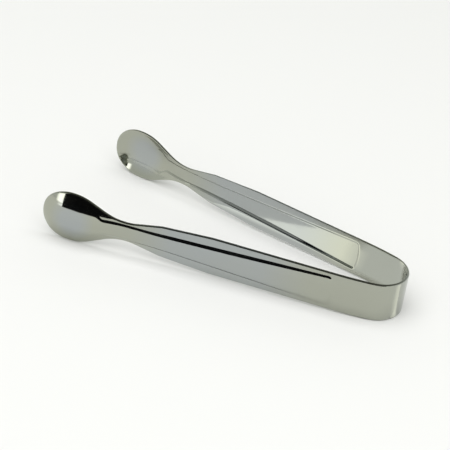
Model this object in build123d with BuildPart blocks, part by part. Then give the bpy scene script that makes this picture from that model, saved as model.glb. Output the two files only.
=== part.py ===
"""Ice tongs pressed from one strip of spring stainless steel.

The strip is bent into a bow and ends in two spoon-shaped bowls whose hollows face each other.
Each zone of the strip is its own node: the bow's crown, and on each arm a shoulder, a ribbed
shank, a neck and a bowl. The arms flex at the ends of the crown, where each shoulder starts in
a half-round knuckle that turns in a socket of the crown.

Millimetres. +X points towards the bow and the bowls point along -X. Y is the way the arms open,
with the left arm on -Y. +Z is up, across the strip. The origin is under the middle of the tongs.
"""

import os
from math import cos, radians, sin

from build123d import *

# Strip
strip_thickness = 1.2
strip_width = 20.8
half_thickness = strip_thickness / 2

# Bow, seen from above. Every radius is to the middle of the strip's thickness.
crown_radius = 14.1
crown_end_angle = 76.0  # where the crown stops, turned from its outermost point
arm_splay = 7.8  # angle between a shank and the X axis
shoulder_length = 17.9
socket_clearance = 0.15  # between a shoulder's round knuckle and the crown's socket

# Shank, measured along its middle line from the end of the shoulder
shank_length = 88.6
taper_start = 62.6  # full width up to here
waist_width = 17.2  # width at the end of the shank

# Raised panel pressed into the shank: raised outside, sunk inside
rib_start = 1.8
rib_end = 84.0
rib_start_width = 15.8
rib_end_width = 8.4
rib_depth = 1.0
rib_wall_angle = 45.0
rib_end_bulge = 0.9  # the blunt end bows out towards the crown

# Neck and bowl, measured from the end of the shank
neck_splay = 1.5  # the neck turns out from the shank by this much
bowl_tuck = 3.5  # the bowl turns back in from the neck by this much
neck_length = 29.0
neck_waist_radius = 25.0
throat_length = 9.0  # straight stretch between the neck's waist and the bowl's cheek
throat_angle = 24.0
waist_turn = 34.7  # turn of the waist's curve, from the throat to the neck's straight side
cheek_radius = 23.0
bowl_centre = 46.1  # where the bowl is widest
bowl_width = 27.2
bowl_front = 15.1  # from the widest place to the tip
bowl_back = 17.0  # from the widest place to where the hollow starts
bowl_depth = 4.2  # from the rim to the deepest point inside
rim_width = 1.3


def direction(angle):
    """A unit vector in the XY plane."""
    return Vector(cos(radians(angle)), sin(radians(angle)))


def ring_sector(centre, radius, start_angle, turn):
    """The plan of a stretch of strip bent round a centre."""
    with BuildSketch() as plan:
        with BuildLine():
            inner = CenterArc(centre, radius - half_thickness, start_angle, turn)
            outer = CenterArc(centre, radius + half_thickness, start_angle, turn)
            Line(inner @ 0, outer @ 0)
            Line(inner @ 1, outer @ 1)
        make_face()
    return plan.sketch


# Points and directions of the bow's plan
crown_centre = Vector(-crown_radius, 0)
left_hinge = crown_centre + direction(-crown_end_angle) * crown_radius
right_hinge = Vector(left_hinge.X, -left_hinge.Y)
shoulder_turn = 90 - crown_end_angle - arm_splay
shoulder_radius = shoulder_length / radians(shoulder_turn)
shoulder_centre = left_hinge - direction(-crown_end_angle) * shoulder_radius
shank_start = shoulder_centre + direction(-crown_end_angle - shoulder_turn) * shoulder_radius

# Working planes on the left arm: x runs along the arm away from the bow, z points outwards
shank_plane = Plane(
    origin=shank_start,
    x_dir=direction(180 + arm_splay),
    z_dir=direction(arm_splay - 90),
)
neck_angle = arm_splay + neck_splay
neck_plane = Plane(
    origin=shank_plane.from_local_coords(Vector(shank_length, 0, 0)),
    x_dir=direction(180 + neck_angle),
    z_dir=direction(neck_angle - 90),
)
bowl_angle = neck_angle - bowl_tuck
bowl_plane = Plane(
    origin=neck_plane.from_local_coords(Vector(neck_length, 0, 0)),
    x_dir=direction(180 + bowl_angle),
    z_dir=direction(bowl_angle - 90),
)


# Crown: the tight bend of the bow, with a socket at each end
with BuildPart() as bow_crown:
    with BuildSketch(Plane.XY.offset(-strip_width / 2)):
        add(ring_sector(crown_centre, crown_radius, -crown_end_angle, 2 * crown_end_angle))
        with Locations(left_hinge, right_hinge):
            Circle(half_thickness + socket_clearance, mode=Mode.SUBTRACT)
    extrude(amount=strip_width)


# Shoulder: the gentle bend between the crown and the shank
with BuildPart() as left_shoulder:
    with BuildSketch(Plane.XY.offset(-strip_width / 2)):
        add(ring_sector(shoulder_centre, shoulder_radius, -crown_end_angle, -shoulder_turn))
        with Locations(left_hinge):
            Circle(half_thickness)
    extrude(amount=strip_width)


# Shank: the flat handle, narrowing towards the neck, with its raised panel
with BuildSketch(Plane.XY) as rib_outline:
    with BuildLine():
        sides = Polyline(
            (rib_start, rib_start_width / 2),
            (rib_end, rib_end_width / 2),
            (rib_end, -rib_end_width / 2),
            (rib_start, -rib_start_width / 2),
        )
        ThreePointArc(sides @ 1, (rib_start - rib_end_bulge, 0), sides @ 0)
    make_face()

with BuildPart() as left_shank:
    with BuildSketch(shank_plane.offset(-half_thickness)):
        with BuildLine():
            Polyline(
                (0, strip_width / 2),
                (taper_start, strip_width / 2),
                (shank_length, waist_width / 2),
                (shank_length, -waist_width / 2),
                (taper_start, -strip_width / 2),
                (0, -strip_width / 2),
                close=True,
            )
        make_face()
    extrude(amount=strip_thickness)
    with BuildSketch(shank_plane.offset(half_thickness)):
        add(rib_outline.sketch)
    extrude(amount=rib_depth, taper=rib_wall_angle)
    with BuildSketch(shank_plane.offset(-half_thickness)):
        add(rib_outline.sketch)
    extrude(amount=rib_depth, taper=rib_wall_angle, mode=Mode.SUBTRACT)


# Outline of neck and bowl: half of it is drawn, from the tip back to the shank, and mirrored
with BuildSketch(Plane.XY) as spoon_outline:
    with BuildLine():
        tip = EllipticalCenterArc((bowl_centre, 0), bowl_front, bowl_width / 2, arc_size=90)
        cheek = JernArc(tip @ 1, (-1, 0), cheek_radius, throat_angle)
        throat = PolarLine(cheek @ 1, throat_length, direction=cheek % 1)
        waist = JernArc(throat @ 1, throat % 1, neck_waist_radius, -waist_turn)
        side = Line(waist @ 1, (0, waist_width / 2))
        Line(side @ 1, (0, 0))
        Line((0, 0), tip @ 0)
    make_face()
    mirror(about=Plane.XZ)


def dome(base_radius, height):
    """A solid cap, round from side to side and drawn out to the bowl's length."""
    sphere_radius = (base_radius**2 + height**2) / (2 * height)
    halves = []
    for keep, reach in ((Keep.TOP, bowl_front), (Keep.BOTTOM, bowl_back)):
        stretch = (reach - bowl_width / 2 + base_radius) / base_radius
        with BuildPart() as half:
            with Locations((0, 0, height - sphere_radius)):
                Sphere(sphere_radius)
            split(bisect_by=Plane.XY, keep=Keep.TOP)
            split(bisect_by=Plane.YZ, keep=keep)
            scale(by=(stretch, 1, 1))
        halves.append(half.part)
    return halves[0] + halves[1]


def across(plane):
    """The plane that cuts the strip square at the start of a zone, facing along the arm."""
    return Plane(origin=plane.origin, x_dir=plane.y_dir, z_dir=plane.x_dir)


# Neck: the narrow waist behind the bowl
with BuildPart(neck_plane.offset(-half_thickness)) as left_neck:
    add(spoon_outline.sketch)
    extrude(amount=strip_thickness)
    split(bisect_by=across(shank_plane).offset(shank_length), keep=Keep.TOP)
    split(bisect_by=across(bowl_plane), keep=Keep.BOTTOM)


# Bowl: a thin-walled hollow with a narrow rim, open towards the other arm
with BuildPart(bowl_plane.offset(-half_thickness)) as left_bowl:
    with Locations((-neck_length, 0)):
        add(spoon_outline.sketch)
    extrude(amount=strip_thickness)
    with Locations((bowl_centre - neck_length, 0)):
        add(dome(bowl_width / 2, bowl_depth + strip_thickness))
        add(dome(bowl_width / 2 - rim_width, bowl_depth), mode=Mode.SUBTRACT)
    split(bisect_by=across(bowl_plane), keep=Keep.TOP)


# The right arm mirrors the left one
with BuildPart() as right_shoulder:
    add(mirror(left_shoulder.part, about=Plane.XZ))

with BuildPart() as right_shank:
    add(mirror(left_shank.part, about=Plane.XZ))

with BuildPart() as right_neck:
    add(mirror(left_neck.part, about=Plane.XZ))

with BuildPart() as right_bowl:
    add(mirror(left_bowl.part, about=Plane.XZ))


# Stand the tongs on z = 0 with the origin under their middle, and write one file per node
nodes = {
    "bow_crown": bow_crown.part,
    "left_shoulder": left_shoulder.part,
    "left_shank": left_shank.part,
    "left_neck": left_neck.part,
    "left_bowl": left_bowl.part,
    "right_shoulder": right_shoulder.part,
    "right_shank": right_shank.part,
    "right_neck": right_neck.part,
    "right_bowl": right_bowl.part,
}
whole = Compound(list(nodes.values())).bounding_box()
stand = Location((-whole.center().X, 0, -whole.min.Z))

os.makedirs("parts", exist_ok=True)
for name, node in nodes.items():
    placed = node.moved(stand)
    placed.label = name
    export_step(placed, f"parts/{name}.step")

for side, hinge in (("left", left_hinge), ("right", right_hinge)):
    place = stand.position + hinge
    print(f"{side} hinge at x {place.X:.3f}, y {place.Y:.3f} mm")
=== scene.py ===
from math import cos, radians, sin

import bmesh
import bpy
import numpy as np
from mathutils import Matrix, Vector


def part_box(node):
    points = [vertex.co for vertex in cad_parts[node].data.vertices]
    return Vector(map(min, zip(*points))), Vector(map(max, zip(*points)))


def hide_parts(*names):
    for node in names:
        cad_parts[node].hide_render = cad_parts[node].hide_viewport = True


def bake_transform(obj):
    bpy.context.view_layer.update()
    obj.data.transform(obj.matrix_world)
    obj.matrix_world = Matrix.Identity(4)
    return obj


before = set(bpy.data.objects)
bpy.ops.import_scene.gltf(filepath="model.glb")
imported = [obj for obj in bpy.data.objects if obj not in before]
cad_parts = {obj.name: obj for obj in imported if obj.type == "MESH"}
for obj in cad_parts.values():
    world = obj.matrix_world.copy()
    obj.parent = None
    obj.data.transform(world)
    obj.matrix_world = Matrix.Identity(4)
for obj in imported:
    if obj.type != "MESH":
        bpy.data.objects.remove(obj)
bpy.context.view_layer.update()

# The tongs are one strip of polished steel. Each half is cut as a flat blank, pressed, bent to
# the shape of its arm, and meets the other half in the middle of the bow.
# Lengths below are millimetres. "along" runs down the strip from the middle of the bow,
# "across" runs up the strip from its middle line, and "out" is away from the other arm.
# A pair of places, such as BOWL_DEEPENS, says where along the strip a change starts and ends.
MM = 0.001

bow_low, bow_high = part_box("bow_crown")
bowl_low, bowl_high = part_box("left_bowl")
STRIP_HALF_WIDTH = (bow_high.z - bow_low.z) / 2 / MM
MIDDLE_HEIGHT = (bow_high.z + bow_low.z) / 2 / MM
THICKNESS = 1.2
BOW_END = bow_high.x / MM - THICKNESS / 2

# Bends of the strip
CROWN_RADIUS = 14.1
CROWN_END = 18.7
CROWN_SOFTNESS = 3.0  # a bend runs out over twice its softness
SHOULDER_RADIUS = 165.4
SHOULDER_END = 36.6
SHOULDER_SOFTNESS = 5.0
NECK_FLARE = radians(1.5)
FLARE_START, FLARE_END = 125.0, 147.0
CURL_RADIUS = 208.0  # the bowls' rims curve towards each other
BOWL_CURLS = (154.0, 163.0)

# Outline
TAPER_START = 99.2
WAIST_START = 125.2
WAIST_HALF_WIDTH = 8.6
WAIST_RADIUS = 25.0
WAIST_TURN = radians(37)
THROAT_LENGTH = 8.2
THROAT_ANGLE = radians(25.5)
CHEEK_RADIUS = 23.0
WIDEST = 171.3
BOWL_HALF_WIDTH = 13.6
TIP_LENGTH = 15.5
TIP_SQUARENESS = 0.93  # under 1, the tip is a little fuller than an ellipse
BORDER = 1.0  # edge strip outside the blank's fine grid
OUTER_ROUNDING, OUTER_SEGMENTS = 0.8, 8
INNER_ROUNDING, INNER_SEGMENTS = 0.25, 4

# Pressed panel
PANEL_START = 38.6
PANEL_END_BULGE = 1.2
PANEL_HALF_WIDTH = 7.9
PANEL_NECK_HALF_WIDTH = 3.65
PANEL_NECK_START = 130.0
PANEL_TAPER_POWER = 1.15
PANEL_SPREAD = 3.3  # added to its half width as it runs out into the bowl
PANEL_SPREADS = (154.5, 161.0)
PANEL_HEIGHT = 1.0
PANEL_BOW_HEIGHT = 0.5
PANEL_RISES = (36.0, 90.0)
PANEL_NECK_HEIGHT = 0.5
PANEL_SINKS = (115.0, 148.0)
PANEL_RUNS_OUT = (150.0, 164.0)
PANEL_CROWN = 0.3
CORNER_RADIUS = 1.4
WALL_WIDTH = 1.9
NECK_WALL_WIDTH = 1.3
WALL_TIGHTENS = (110.0, 140.0)

# Bowl
BOWL_DEPTH = 3.65
BOWL_DEEPENS = (143.0, 170.0)
NECK_ARCH = 0.5
NECK_ARCHES = (114.0, 146.0)
TIP_STEEPENING = 3.0  # the dome falls to its tip by this power of the distance


def ease(x, start, end):
    """0 before start, 1 after end, and smooth between."""
    t = np.clip((x - start) / (end - start), 0, 1)
    return t * t * (3 - 2 * t)


# ---- Plan of the bent strip --------------------------------------------------------------

PLAN_STEP = 0.05
plan_along = np.arange(-1, WIDEST + TIP_LENGTH + 2, PLAN_STEP)
crown_over = ease(plan_along, CROWN_END - CROWN_SOFTNESS, CROWN_END + CROWN_SOFTNESS)
shoulder_over = ease(
    plan_along, SHOULDER_END - SHOULDER_SOFTNESS, SHOULDER_END + SHOULDER_SOFTNESS
)
flare_place = np.clip((plan_along - FLARE_START) / (FLARE_END - FLARE_START), 0, 1)
curvature = (
    (1 - crown_over) / CROWN_RADIUS
    + (crown_over - shoulder_over) / SHOULDER_RADIUS
    - NECK_FLARE / (FLARE_END - FLARE_START) * 6 * flare_place * (1 - flare_place)
    + ease(plan_along, *BOWL_CURLS) / CURL_RADIUS
)


def running_total(values):
    """Area under values, counted from the middle of the bow."""
    total = np.concatenate(([0], np.cumsum((values[1:] + values[:-1]) / 2) * PLAN_STEP))
    return total - np.interp(0, plan_along, total)


plan_turn = running_total(curvature)
plan_x = BOW_END - running_total(np.sin(plan_turn))
plan_y = -running_total(np.cos(plan_turn))


# ---- Outline of the blank ----------------------------------------------------------------

QUARTER = radians(90)


def arc_points(centre, radius, start, turn, count=24):
    """Points on an arc, from one angle and through a turn."""
    angles = np.linspace(start, start + turn, count)
    return np.stack(
        (centre[0] + radius * np.cos(angles), centre[1] + radius * np.sin(angles)), 1
    )


cheek_centre = (WIDEST, BOWL_HALF_WIDTH - CHEEK_RADIUS)
cheek = arc_points(cheek_centre, CHEEK_RADIUS, QUARTER, THROAT_ANGLE)
throat_end = cheek[-1] - THROAT_LENGTH * np.array((cos(THROAT_ANGLE), sin(THROAT_ANGLE)))
waist_centre = throat_end + WAIST_RADIUS * np.array((-sin(THROAT_ANGLE), cos(THROAT_ANGLE)))
waist = arc_points(waist_centre, WAIST_RADIUS, THROAT_ANGLE - QUARTER, -WAIST_TURN)
side = np.array((
    (WAIST_START, WAIST_HALF_WIDTH),
    (TAPER_START, STRIP_HALF_WIDTH),
    (-1, STRIP_HALF_WIDTH),
))
outline = np.concatenate((cheek, waist, side))[::-1]


def half_width(along):
    """Half width of the blank."""
    return np.interp(along, outline[:, 0], outline[:, 1])


def slope_of(width, along, reach):
    """How fast a width grows along the strip, measured over a short reach on both sides."""
    return (width(along + reach) - width(along - reach)) / (2 * reach)


def core_half_width(along):
    """Half width inside the border."""
    slope = slope_of(half_width, along, reach=0.2)
    return half_width(along) - BORDER * np.sqrt(1 + slope**2)


# ---- Height of the pressing --------------------------------------------------------------

def panel_half_width(along):
    """Half width of the panel, at the middle of its walls."""
    left = np.clip((PANEL_NECK_START - along) / (PANEL_NECK_START - PANEL_START), 0, 1)
    taper = (PANEL_HALF_WIDTH - PANEL_NECK_HALF_WIDTH) * left**PANEL_TAPER_POWER
    return PANEL_NECK_HALF_WIDTH + taper + PANEL_SPREAD * ease(along, *PANEL_SPREADS)


def wall_width(along):
    """Width of the panel's walls, which are tighter in the neck."""
    return WALL_WIDTH - (WALL_WIDTH - NECK_WALL_WIDTH) * ease(along, *WALL_TIGHTENS)


def panel(along, across):
    """The long raised panel, with a blunt end at the bow and a taper into the bowl."""
    half = panel_half_width(along)
    before_end = PANEL_START + PANEL_END_BULGE * (across / PANEL_HALF_WIDTH) ** 2 - along
    past_side = np.abs(across) - half
    end_reach = before_end + CORNER_RADIUS
    side_reach = past_side + CORNER_RADIUS
    rounded = np.hypot(np.maximum(end_reach, 0), np.maximum(side_reach, 0))
    outside = rounded + np.minimum(np.maximum(end_reach, side_reach), 0) - CORNER_RADIUS
    raised = 1 - ease(outside, -wall_width(along) / 2, wall_width(along) / 2)
    gain = (PANEL_HEIGHT - PANEL_BOW_HEIGHT) * ease(along, *PANEL_RISES)
    loss = (PANEL_HEIGHT - PANEL_NECK_HEIGHT) * ease(along, *PANEL_SINKS)
    height = (PANEL_BOW_HEIGHT + gain - loss) * (1 - ease(along, *PANEL_RUNS_OUT))
    from_middle = np.minimum(across / PANEL_HALF_WIDTH, 1)
    crown = PANEL_CROWN * ((half / PANEL_HALF_WIDTH) ** 2 - from_middle**2)
    return raised * (height + crown)


def bowl(along, across):
    """The arch of the neck growing into the bowl's dome."""
    arch = NECK_ARCH * ease(along, *NECK_ARCHES)
    depth = arch + (BOWL_DEPTH - NECK_ARCH) * ease(along, *BOWL_DEEPENS)
    forward = np.maximum(along - WIDEST, 0) / TIP_LENGTH
    width = np.where(along > WIDEST, BOWL_HALF_WIDTH, half_width(along))
    return depth * (1 - forward**TIP_STEEPENING - (across / width) ** 2)


def middle_surface(along, across):
    """Where a point of the blank's middle sheet ends up on the left arm."""
    turned = np.interp(along, plan_along, plan_turn)
    height = panel(along, across) + bowl(along, across)
    x = np.interp(along, plan_along, plan_x) + height * np.cos(turned)
    y = np.interp(along, plan_along, plan_y) - height * np.sin(turned)
    return np.stack((x, y, across + MIDDLE_HEIGHT), 1)


def formed(along, across, out):
    """Where a point of the flat blank ends up on the left arm, with its thickness kept."""
    nudge = 0.01
    ahead = middle_surface(along + nudge, across) - middle_surface(along - nudge, across)
    above = middle_surface(along, across + nudge) - middle_surface(along, across - nudge)
    normal = np.cross(above, ahead)
    normal /= np.linalg.norm(normal, axis=1)[:, None]
    return middle_surface(along, across) + normal * out[:, None]


# ---- Cutting and forming one half --------------------------------------------------------

def spaced(*stretches):
    """Places along a line: each stretch is (start, end, count), and the next starts there."""
    places = [np.linspace(start, end, count, endpoint=False) for start, end, count in stretches]
    return np.append(np.concatenate(places), stretches[-1][1])


# The grid is finer where the strip bends and where the panel and the bowl are pressed.
TIP_CORE_LENGTH = TIP_LENGTH - BORDER
TIP_CORE_HALF_WIDTH = BOWL_HALF_WIDTH - BORDER
ROWS = spaced(
    (0, 0.02, 1), (0.02, CROWN_END, 50), (CROWN_END, 36, 36), (36, 42, 34), (42, 112, 90),
    (112, 150, 90), (150, WIDEST, 56), (WIDEST, WIDEST + TIP_CORE_LENGTH, 36),
)
FLOOR_COLUMNS, WALL_COLUMNS, EDGE_COLUMNS = 10, 12, 6
HALF_COLUMNS = FLOOR_COLUMNS + WALL_COLUMNS + EDGE_COLUMNS
COLUMNS_EVEN_OUT = (138.0, 150.0)
BOW_SEAM = 1e-4  # what lies nearer the middle of the bow is the seam between the halves
TINY = 1e-9  # keeps a division by zero out of the tip's rows
FACE_ON, EDGE_ON = 0.9, 0.1  # how far a face's normal points up or down
SMOOTHING_ANGLE = radians(35)


def across_of(along, share):
    """Height of a grid column, which follows the panel's walls and then the bowl's sides."""
    edge = core_half_width(along)
    half = panel_half_width(along)
    wall = wall_width(along)
    column = np.abs(share) * HALF_COLUMNS
    past_floor = column - FLOOR_COLUMNS
    past_wall = past_floor - WALL_COLUMNS
    floor_edge, wall_edge = half - wall / 2, half + wall / 2
    in_floor = column / FLOOR_COLUMNS * floor_edge
    in_wall = floor_edge + past_floor / WALL_COLUMNS * wall
    in_edge = wall_edge + past_wall / EDGE_COLUMNS * (edge - wall_edge)
    past_the_floor = np.where(past_wall < 0, in_wall, in_edge)
    followed = np.where(past_floor < 0, in_floor, past_the_floor)
    even = np.abs(share) * edge
    mix = ease(along, *COLUMNS_EVEN_OUT)
    return np.sign(share) * (followed * (1 - mix) + even * mix)


def points_of(mesh):
    """A mesh's points as an array."""
    flat = np.empty(len(mesh.vertices) * 3)
    mesh.vertices.foreach_get("co", flat)
    return flat.reshape(-1, 3)


def set_points(mesh, points):
    """Moves a mesh's points."""
    mesh.vertices.foreach_set("co", points.ravel())
    mesh.update()


def laid_out(grid):
    """Where the points of a square grid lie on the flat blank, wrapped round at the tip."""
    line = np.interp(grid[:, 0], np.linspace(-1, 1, len(ROWS)), ROWS)
    share = grid[:, 1]
    along, across = line.copy(), across_of(line, share)

    tip = line > WIDEST
    forward = (line[tip] - WIDEST) / TIP_CORE_LENGTH
    sideways = share[tip]
    reach = np.maximum(forward, np.abs(sideways))
    angle_ahead = QUARTER / 2 * sideways / np.maximum(forward, TINY)
    angle_aside = QUARTER - QUARTER / 2 * forward / np.maximum(np.abs(sideways), TINY)
    angle = np.where(
        forward > np.abs(sideways), angle_ahead, np.sign(sideways) * angle_aside
    )
    ahead = np.cos(angle) ** TIP_SQUARENESS
    aside = np.abs(np.sin(angle)) ** TIP_SQUARENESS
    along[tip] = WIDEST + reach * TIP_CORE_LENGTH * ahead
    across[tip] = reach * TIP_CORE_HALF_WIDTH * aside * np.sign(sideways)
    return np.stack((along, across, np.zeros(len(along))), 1)


def border_direction(along, across):
    """Which way is out of the blank, at a point on the edge of its fine grid."""
    if along <= WIDEST:
        slope = slope_of(core_half_width, along, reach=0.1)
        way = Vector((-slope, 1.0 if across > 0 else -1.0))
    else:
        way = Vector((
            (along - WIDEST) / TIP_CORE_LENGTH**2,
            across / TIP_CORE_HALF_WIDTH**2,
        ))
    return way.normalized()


def add_border(blank):
    """Draws the blank's edge outwards by the width of the border."""
    bpy.ops.mesh.select_all(action="DESELECT")
    edit = bmesh.from_edit_mesh(blank.data)
    for face in edit.faces:
        on_edge = abs(face.normal.z) < EDGE_ON
        face.select = on_edge and face.calc_center_median().x > BOW_SEAM
    edit.select_flush_mode()
    bpy.ops.mesh.extrude_region_move()
    edit = bmesh.from_edit_mesh(blank.data)
    for vertex in edit.verts:
        if vertex.select:
            vertex.co.xy += BORDER * border_direction(vertex.co.x, vertex.co.y)
    bmesh.update_edit_mesh(blank.data)


def round_rim(blank, face_side, radius, segments):
    """Rounds the edge all round one face of the plate, but not across the middle of the bow."""
    bpy.ops.mesh.select_all(action="DESELECT")
    edit = bmesh.from_edit_mesh(blank.data)
    edit.normal_update()
    for edge in edit.edges:
        tilts = sorted(face.normal.z * face_side for face in edge.link_faces)
        at_seam = all(vertex.co.x < BOW_SEAM for vertex in edge.verts)
        if not at_seam and abs(tilts[0]) < EDGE_ON and tilts[-1] > FACE_ON:
            edge.select_set(True)
    bmesh.update_edit_mesh(blank.data)
    bpy.ops.mesh.bevel(offset=radius, segments=segments, affect="EDGES")


def cut_blank():
    """A flat half of the strip with its outline, thickness and rounded edges, a unit a mm."""
    bpy.ops.object.select_all(action="DESELECT")
    bpy.ops.mesh.primitive_grid_add(
        x_subdivisions=len(ROWS) - 1, y_subdivisions=2 * HALF_COLUMNS, size=2
    )
    blank = bpy.context.object
    set_points(blank.data, laid_out(points_of(blank.data)))

    plate = blank.modifiers.new("plate", "SOLIDIFY")
    plate.thickness = THICKNESS
    plate.offset = 0
    bpy.ops.object.modifier_apply(modifier=plate.name)

    bpy.ops.object.mode_set(mode="EDIT")
    add_border(blank)
    round_rim(blank, 1, OUTER_ROUNDING, OUTER_SEGMENTS)
    round_rim(blank, -1, INNER_ROUNDING, INNER_SEGMENTS)
    bpy.ops.object.mode_set(mode="OBJECT")
    return blank


def pick(piece):
    """Makes a piece the only one selected."""
    bpy.ops.object.select_all(action="DESELECT")
    piece.select_set(True)
    bpy.context.view_layer.objects.active = piece


def point_faces_outwards(piece):
    """Turns every face outwards and shades the piece smooth."""
    pick(piece)
    bpy.ops.object.mode_set(mode="EDIT")
    bpy.ops.mesh.select_all(action="SELECT")
    bpy.ops.mesh.normals_make_consistent(inside=False)
    bpy.ops.object.mode_set(mode="OBJECT")
    bpy.ops.object.shade_smooth_by_angle(angle=SMOOTHING_ANGLE)


def press_and_bend(blank, name):
    """Presses the panel and the bowl into the blank and bends it to the left arm's shape."""
    flat = points_of(blank.data)
    set_points(blank.data, formed(flat[:, 0], flat[:, 1], flat[:, 2]) * MM)
    blank.name = name
    point_faces_outwards(blank)
    return blank


def mirrored(piece, name):
    """The same half on the other side of the middle plane, with its own mesh."""
    pick(piece)
    bpy.ops.object.duplicate()
    other = bpy.context.object
    other.name = name
    other.scale.y = -1
    bpy.ops.object.transform_apply(location=False, rotation=False, scale=True)
    point_faces_outwards(other)
    return other


# ---- Steel -------------------------------------------------------------------------------

COOL_STEEL = (0.383, 0.407, 0.41)
WARM_STEEL = (0.388, 0.408, 0.401)
PAINTED_REFLECTION_STEEL = (0.4, 0.41, 0.34)  # straw tint painted in a ring round each bowl, a painted reflection of warm surroundings
PAINTED_REFLECTION_REACH = 60 * MM
PAINTED_REFLECTION_STOPS = ((0.1, 0), (0.2, 0.9), (0.5, 0.8), (0.85, 0))  # share of the reach, and strength
RIGHT_BOWL_MIDDLE = (
    -(bowl_low.x + bowl_high.x) / 2,
    -(bowl_low.y + bowl_high.y) / 2,
    MIDDLE_HEIGHT * MM,
)


def set_stops(ramp, stops):
    """Fills a colour ramp with stops, each a place and a colour."""
    elements = ramp.color_ramp.elements
    for number, (place, colour) in enumerate(stops):
        element = elements[number] if number < 2 else elements.new(place)
        element.position = place
        element.color = (*colour, 1)


def polished_steel():
    """Mirror-polished steel with faint lines along the strip, handling haze and waviness."""
    steel = bpy.data.materials.new("polished_steel")
    steel.use_nodes = True
    nodes, links = steel.node_tree.nodes, steel.node_tree.links
    shader = nodes["Principled BSDF"]
    shader.inputs["Metallic"].default_value = 1
    place = nodes.new("ShaderNodeTexCoord").outputs["Object"]

    def pattern(scale, stretch, detail):
        """Noise, made finer by stretch up the strip."""
        mapping = nodes.new("ShaderNodeMapping")
        mapping.inputs["Scale"].default_value = (1, 1, stretch)
        noise = nodes.new("ShaderNodeTexNoise")
        noise.inputs["Scale"].default_value = scale
        noise.inputs["Detail"].default_value = detail
        links.new(place, mapping.inputs["Vector"])
        links.new(mapping.outputs["Vector"], noise.inputs["Vector"])
        return noise.outputs["Fac"]

    def spread(value, low, high, least, most):
        """Turns a value between low and high into least to most."""
        ramp = nodes.new("ShaderNodeMapRange")
        numbers = {"From Min": low, "From Max": high, "To Min": least, "To Max": most}
        for name, number in numbers.items():
            ramp.inputs[name].default_value = number
        links.new(value, ramp.inputs["Value"])
        return ramp.outputs["Result"]

    def mixed(amount, second):
        """A mix whose second colour is given, by an amount from 0 to 1."""
        mix = nodes.new("ShaderNodeMix")
        mix.data_type = "RGBA"
        mix.inputs["B"].default_value = (*second, 1)
        links.new(amount, mix.inputs["Factor"])
        return mix

    def bumped(height, strength, distance):
        """A bump made by a height pattern."""
        bump = nodes.new("ShaderNodeBump")
        bump.inputs["Strength"].default_value = strength
        bump.inputs["Distance"].default_value = distance
        links.new(height, bump.inputs["Height"])
        return bump

    polish_lines = pattern(scale=60, stretch=90, detail=3)
    haze = pattern(scale=45, stretch=1, detail=4)
    cast = pattern(scale=22, stretch=1.6, detail=2)
    waves = pattern(scale=70, stretch=1.8, detail=1)

    tint = mixed(spread(cast, 0.38, 0.62, least=0, most=1), WARM_STEEL)
    tint.inputs["A"].default_value = (*COOL_STEEL, 1)

    # A straw tint painted into the base colour in a ring round each bowl stands in for a warm
    # reflection: painted reflection.
    either_side = nodes.new("ShaderNodeVectorMath")
    either_side.operation = "ABSOLUTE"
    links.new(place, either_side.inputs[0])
    from_bowl = nodes.new("ShaderNodeVectorMath")
    from_bowl.operation = "DISTANCE"
    from_bowl.inputs[1].default_value = RIGHT_BOWL_MIDDLE
    links.new(either_side.outputs["Vector"], from_bowl.inputs[0])
    painted_reflection_ring = nodes.new("ShaderNodeValToRGB")
    set_stops(painted_reflection_ring, [(reach, (amount,) * 3) for reach, amount in PAINTED_REFLECTION_STOPS])
    distance = spread(from_bowl.outputs["Value"], 0, PAINTED_REFLECTION_REACH, least=0, most=1)
    links.new(distance, painted_reflection_ring.inputs["Fac"])
    painted_reflection_mix = mixed(painted_reflection_ring.outputs["Color"], PAINTED_REFLECTION_STEEL)
    links.new(tint.outputs["Result"], painted_reflection_mix.inputs["A"])
    links.new(painted_reflection_mix.outputs["Result"], shader.inputs["Base Color"])

    roughness = nodes.new("ShaderNodeMath")
    roughness.operation = "ADD"
    links.new(spread(haze, 0.35, 0.7, least=0.035, most=0.10), roughness.inputs[0])
    links.new(spread(polish_lines, 0.4, 0.7, least=0.0, most=0.05), roughness.inputs[1])
    links.new(roughness.outputs["Value"], shader.inputs["Roughness"])

    lines = bumped(polish_lines, strength=0.05, distance=0.02 * MM)
    swell = bumped(waves, strength=0.35, distance=0.08 * MM)
    links.new(lines.outputs["Normal"], swell.inputs["Normal"])
    links.new(swell.outputs["Normal"], shader.inputs["Normal"])
    return steel


# ---- Stage -------------------------------------------------------------------------------

CAMERA_AZIMUTH = 21.152
CAMERA_HEIGHT = 33.318
CAMERA_ROLL = 8.587
CAMERA_TARGET = Vector((-8.43, 2.83, 13.6)) * MM
CAMERA_DISTANCE = 837.7 * MM
CAMERA_LENS, CAMERA_SENSOR = 134.96, 36

# The tongs stand on the bowls' rims and on the bow's lower edge, which is a little higher.
REST_X = (bowl_low.x + bowl_high.x) / 2
FLOOR_SLOPE = bow_low.z / (bow_high.x - REST_X)
FLOOR_SIZE = 6
PALE_PAPER = (0.85, 0.85, 0.84)

OVERHEAD_AZIMUTH, OVERHEAD_HEIGHT, OVERHEAD_DISTANCE = 10, 78, 1.7
OVERHEAD_WIDTH, OVERHEAD_DEPTH = 2.6, 2.2
OVERHEAD_POWER = 40

# Colours of the room, from the horizon to overhead
ROOM_STOPS = (
    (0.0, (0.80, 0.82, 0.81)),
    (0.4, (0.66, 0.68, 0.65)),
    (0.7, (0.24, 0.25, 0.22)),
    (0.9, (0.06, 0.06, 0.05)),
)


def toward(azimuth, height):
    """A unit vector: azimuth 0 looks from -Y and 90 from +X, in degrees."""
    azimuth, height = radians(azimuth), radians(height)
    return Vector((sin(azimuth) * cos(height), -cos(azimuth) * cos(height), sin(height)))


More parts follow.
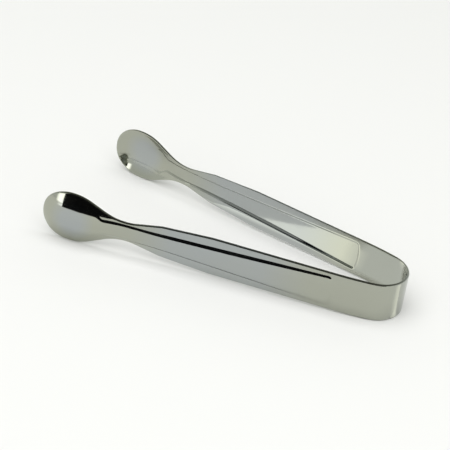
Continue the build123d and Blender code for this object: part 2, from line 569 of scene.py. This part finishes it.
def add_camera():
    """A long lens above the near arm, rolled a little to one side."""
    azimuth, roll = radians(CAMERA_AZIMUTH), radians(CAMERA_ROLL)
    back = toward(CAMERA_AZIMUTH, CAMERA_HEIGHT)
    level = Vector((cos(azimuth), sin(azimuth), 0))
    above = back.cross(level)
    right = level * cos(roll) + above * sin(roll)
    up = above * cos(roll) - level * sin(roll)
    bpy.ops.object.camera_add()
    camera = bpy.context.object
    camera.matrix_world = Matrix.Translation(CAMERA_TARGET + back * CAMERA_DISTANCE) @ Matrix(
        (right, up, back)
    ).transposed().to_4x4()
    camera.data.lens = CAMERA_LENS
    camera.data.sensor_width = CAMERA_SENSOR
    bpy.context.scene.camera = camera


def add_floor():
    """A pale floor that touches the bowls' rims and the bow's lower edge."""
    bpy.ops.mesh.primitive_plane_add(size=FLOOR_SIZE)
    floor = bpy.context.object
    floor.name = "floor"
    floor.rotation_euler.y = -FLOOR_SLOPE
    floor.location.z = -REST_X * FLOOR_SLOPE
    paper = bpy.data.materials.new("pale_paper")
    paper.use_nodes = True
    shader = paper.node_tree.nodes["Principled BSDF"]
    shader.inputs["Base Color"].default_value = (*PALE_PAPER, 1)
    shader.inputs["Roughness"].default_value = 0.9
    shader.inputs["Specular IOR Level"].default_value = 0.1
    floor.data.materials.append(paper)


def add_overhead_light():
    """A large soft light above the tongs, which doesn't show in the steel."""
    light = bpy.data.lights.new("overhead_light", "AREA")
    light.shape = "RECTANGLE"
    light.size, light.size_y = OVERHEAD_WIDTH, OVERHEAD_DEPTH
    light.energy = OVERHEAD_POWER
    lamp = bpy.data.objects.new("overhead_light", light)
    bpy.context.scene.collection.objects.link(lamp)
    place = toward(OVERHEAD_AZIMUTH, OVERHEAD_HEIGHT) * OVERHEAD_DISTANCE
    lamp.location = place
    lamp.rotation_euler = place.to_track_quat("Z", "Y").to_euler()
    lamp.visible_glossy = False


def add_world():
    """A pale room that gets darker overhead."""
    world = bpy.data.worlds.new("studio")
    world.use_nodes = True
    nodes, links = world.node_tree.nodes, world.node_tree.links
    parts = nodes.new("ShaderNodeSeparateXYZ")
    ramp = nodes.new("ShaderNodeValToRGB")
    links.new(nodes.new("ShaderNodeTexCoord").outputs["Generated"], parts.inputs["Vector"])
    links.new(parts.outputs["Z"], ramp.inputs["Fac"])
    links.new(ramp.outputs["Color"], nodes["Background"].inputs["Color"])
    set_stops(ramp, ROOM_STOPS)
    bpy.context.scene.world = world


def glowing(name, colour, strength, hardness):
    """A light that fades to nothing at the card's edges; more hardness, less fade."""
    paint = bpy.data.materials.new(name)
    paint.use_nodes = True
    nodes, links = paint.node_tree.nodes, paint.node_tree.links
    nodes.remove(nodes["Principled BSDF"])
    glow = nodes.new("ShaderNodeEmission")
    glow.inputs["Color"].default_value = (*colour, 1)
    glow.inputs["Strength"].default_value = strength
    place = nodes.new("ShaderNodeSeparateXYZ")
    links.new(nodes.new("ShaderNodeTexCoord").outputs["UV"], place.inputs["Vector"])

    def math(operation, one, other):
        """Combines two numbers or outputs, with the result held between 0 and 1."""
        node = nodes.new("ShaderNodeMath")
        node.operation = operation
        node.use_clamp = True
        for socket, value in zip(node.inputs, (one, other)):
            if isinstance(value, (int, float)):
                socket.default_value = value
            else:
                links.new(value, socket)
        return node.outputs["Value"]

    # way * (1 - way) is a quarter at the middle of the card and nothing at its edges.
    fades = [
        math("MULTIPLY", math("MULTIPLY", way, math("SUBTRACT", 1, way)), 4 * firmness)
        for way, firmness in zip((place.outputs["X"], place.outputs["Y"]), hardness)
    ]
    see_through = nodes.new("ShaderNodeBsdfTransparent")
    card = nodes.new("ShaderNodeMixShader")
    links.new(math("MULTIPLY", *fades), card.inputs["Fac"])
    links.new(see_through.outputs["BSDF"], card.inputs[1])
    links.new(glow.outputs["Emission"], card.inputs[2])
    links.new(card.outputs["Shader"], nodes["Material Output"].inputs["Surface"])
    return paint


def add_card(name, corners, colour, strength, hardness):
    """A flat studio card, given by its corners in millimetres, that only shows in the steel."""
    bpy.ops.mesh.primitive_plane_add(size=1)
    card = bpy.context.object
    card.name = name
    vertices = card.data.vertices
    for vertex, corner in zip((vertices[0], vertices[1], vertices[3], vertices[2]), corners):
        vertex.co = Vector(corner) * MM
    card.visible_camera = card.visible_diffuse = card.visible_shadow = False
    card.data.materials.append(glowing(name, colour, strength, hardness))


def upright(left, right, front, bottom, top):
    """Corners of a card that stands in front of the tongs."""
    return ((left, front, bottom), (right, front, bottom), (right, front, top), (left, front, top))


def on_floor(lift, *corners):
    """Corners a little above the floor."""
    return [(x, y, (x - REST_X / MM) * FLOOR_SLOPE + lift) for x, y in corners]


WHITE = (1, 1, 1)
IVORY = (1, 1, 0.93)

# Name, corners, colour, strength, and hardness along and up the card
CARDS = (
    ("dark_card", upright(-101, 200, -100, 16, 92), (1, 1, 1.1), 0.006, (60, 30)),
    ("bright_card", upright(-128, -92, -101, 16, 46), WHITE, 3, (0.9, 2)),
    ("neck_card", upright(-149, -130, -100, 56, 72), WHITE, 3.5, (1.5, 1.5)),
    (
        "ivory_card", on_floor(0.4, (50, -6), (-40, 24.7), (-39, 25.2), (59, 12)),
        IVORY, 1.6, (2, 1.5),
    ),
    (
        "bow_card", on_floor(0.3, (40, -17), (88, -11), (88, 11), (40, 17)),
        (0.97, 0.99, 1), 1.0, (2, 3),
    ),
    (
        "foot_card", on_floor(0.2, (60, 4), (-50, 22), (-48, 38), (62, 17)),
        (1, 1, 0.96), 0.95, (2, 2),
    ),
    (
        "glint_card", on_floor(0.2, (87.0, -8.6), (137, -1.5), (131, 19), (85.7, -4.6)),
        IVORY, 1.4, (3, 1),
    ),
)


# ---- Both halves, and the studio around them ---------------------------------------------

steel = polished_steel()
left_half = press_and_bend(cut_blank(), "left_half")
left_half.data.materials.append(steel)
right_half = mirrored(left_half, "right_half")

# The bow's crown and each side's zones in the CAD model, which the two halves take the place of.
ZONES = ("shoulder", "shank", "neck", "bowl")

for side_name, half, hand in (("left", left_half, -1), ("right", right_half, 1)):
    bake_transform(half)
    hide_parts("bow_crown", *(f"{side_name}_{zone}" for zone in ZONES))

add_floor()
add_world()
add_overhead_light()
for card_values in CARDS:
    add_card(*card_values)
bpy.context.scene.view_settings.view_transform = "Standard"
add_camera()
